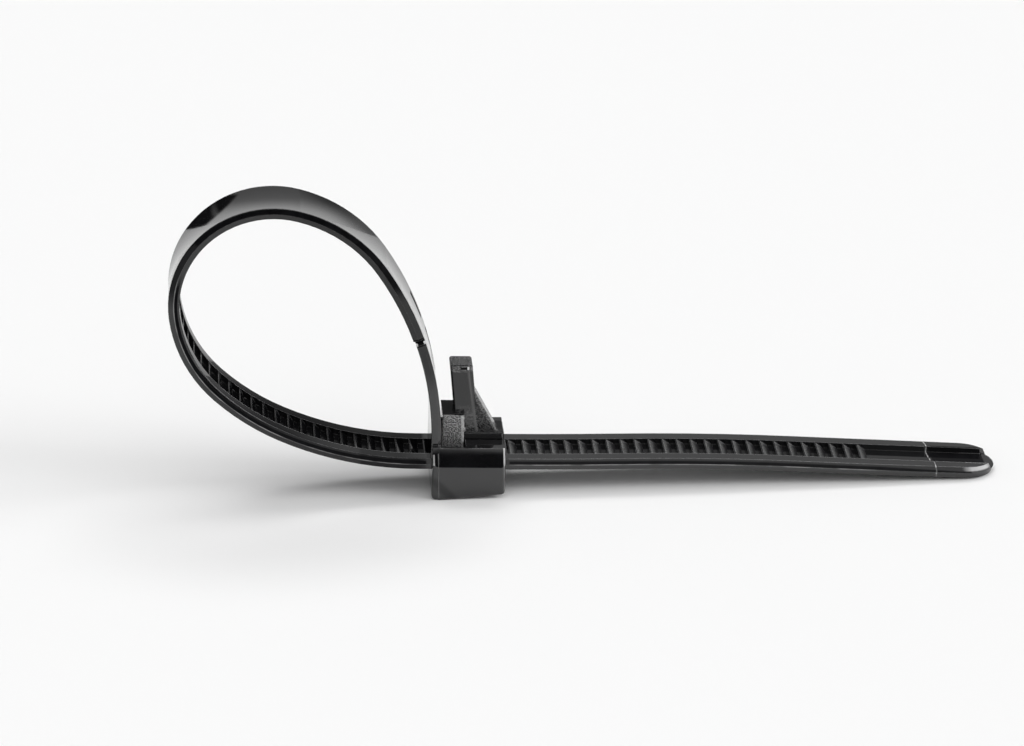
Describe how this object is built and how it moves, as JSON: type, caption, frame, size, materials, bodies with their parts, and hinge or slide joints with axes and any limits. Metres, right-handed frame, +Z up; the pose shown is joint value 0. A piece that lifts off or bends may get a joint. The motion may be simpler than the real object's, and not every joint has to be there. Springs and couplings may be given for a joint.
{
  "type": "cable tie",
  "caption": "Releasable nylon cable tie closed into a tear-drop loop: toothed strap through a box head with a hinged pawl and upright release lever, tail lying flat.",
  "frame": {"origin": "bottom centre of the bounding box, on the surface the tie rests on", "axes": "+X towards the tail's tip, +Y across the strap away from the side that is seen, +Z up"},
  "size_m": [0.089, 0.0098, 0.0332],
  "materials": {
    "nylon": "moulded black nylon, glossy, fine spark-eroded texture on the pawl block"
  },
  "bodies": {
    "root": {"cable_tie": "nylon"}
  },
  "joints": []
}
